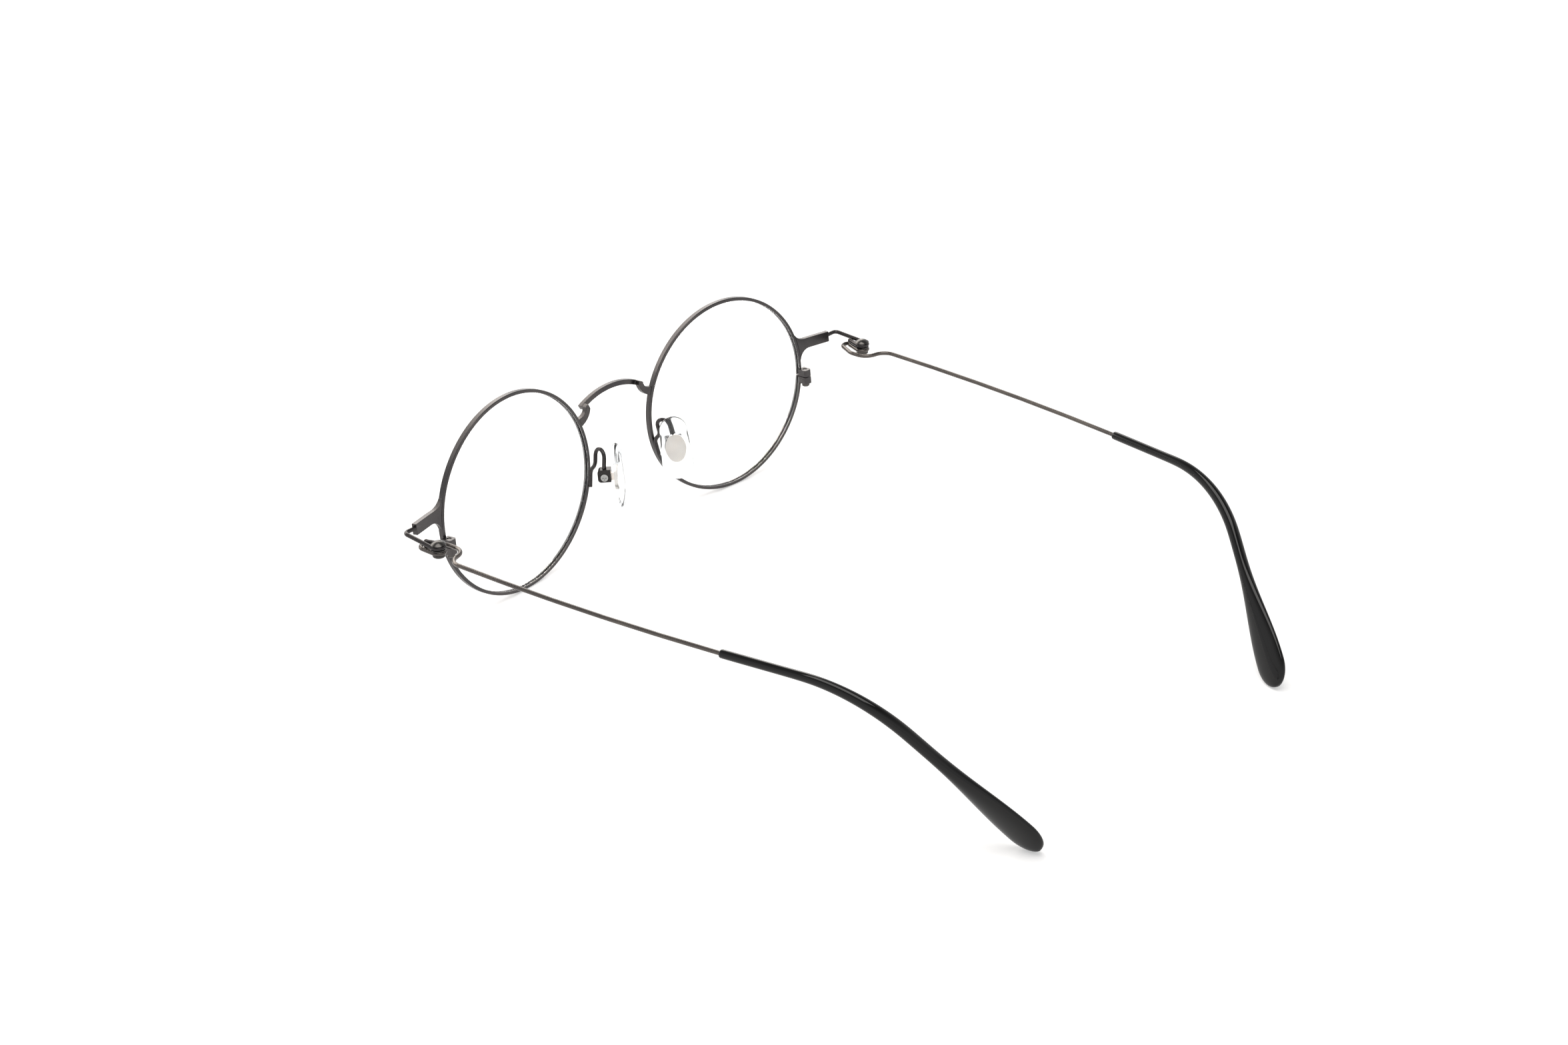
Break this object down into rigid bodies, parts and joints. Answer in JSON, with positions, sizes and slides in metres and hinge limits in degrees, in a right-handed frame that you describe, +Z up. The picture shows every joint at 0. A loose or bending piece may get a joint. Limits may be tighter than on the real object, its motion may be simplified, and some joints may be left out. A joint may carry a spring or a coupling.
{
  "type": "round wire eyeglasses",
  "caption": "Round thin-rimmed wire eyeglasses with an arched bridge, wound wire hinges that fold, clear rocking nose pads and curved black temple tips.",
  "frame": {"origin": "on the floor under the middle of the glasses' bounding box", "axes": "+Z up; the lenses face -Y and the open temples run towards +Y; +X is the wearer's left"},
  "size_m": [0.1334, 0.1498, 0.0434],
  "materials": {
    "metal": "satin gunmetal plating",
    "wire": "satin gunmetal plating with a light bronze sheen",
    "rivet": "satin dark plating",
    "screw": "bright steel",
    "insert": "pale speckled nickel silver",
    "tip": "gloss black acetate",
    "lens": "clear",
    "pad": "clear soft silicone"
  },
  "bodies": {
    "front": {"rim_left": "metal", "rim_right": "metal", "lens_left": "lens", "lens_right": "lens", "bridge": "metal", "endpiece_left": "metal", "endpiece_right": "metal", "closing_block_upper_left": "metal", "closing_block_upper_right": "metal", "closing_block_lower_left": "metal", "closing_block_lower_right": "metal", "closing_screw_left": "rivet", "closing_screw_right": "rivet", "hinge_wire_left": "wire", "hinge_wire_right": "wire", "hinge_pin_left": "rivet", "hinge_pin_right": "rivet", "hinge_washer_left": "rivet", "hinge_washer_right": "rivet", "hinge_base_left": "rivet", "hinge_base_right": "rivet", "pad_arm_left": "wire", "pad_arm_right": "wire", "pad_box_left": "metal", "pad_box_right": "metal", "pad_screw_left": "screw", "pad_screw_right": "screw"},
    "temple_left": {"temple_wire_left": "wire", "temple_tip_left": "tip"},
    "temple_right": {"temple_wire_right": "wire", "temple_tip_right": "tip"},
    "nose_pad_left": {"pad_insert_left": "insert", "nose_pad_left": "pad"},
    "nose_pad_right": {"pad_insert_right": "insert", "nose_pad_right": "pad"}
  },
  "joints": [
    {"name": "temple_left_fold", "type": "hinge", "parent": "front", "child": "temple_left", "pos_m": [0.0645, -0.05767, 0.02638], "axis": [0, -0.0523, 0.9986], "range_deg": [0, 85]},
    {"name": "temple_right_fold", "type": "hinge", "parent": "front", "child": "temple_right", "pos_m": [-0.0645, -0.05767, 0.02638], "axis": [0, -0.0523, 0.9986], "range_deg": [-80, 0]},
    {"name": "nose_pad_left_rock", "type": "hinge", "parent": "front", "child": "nose_pad_left", "pos_m": [0.01072, -0.06506, 0.01893], "axis": [0.754, 0.6465, 0.1164], "range_deg": [-8, 8]},
    {"name": "nose_pad_right_rock", "type": "hinge", "parent": "front", "child": "nose_pad_right", "pos_m": [-0.01072, -0.06506, 0.01893], "axis": [0.754, -0.6465, -0.1164], "range_deg": [-8, 8]}
  ]
}
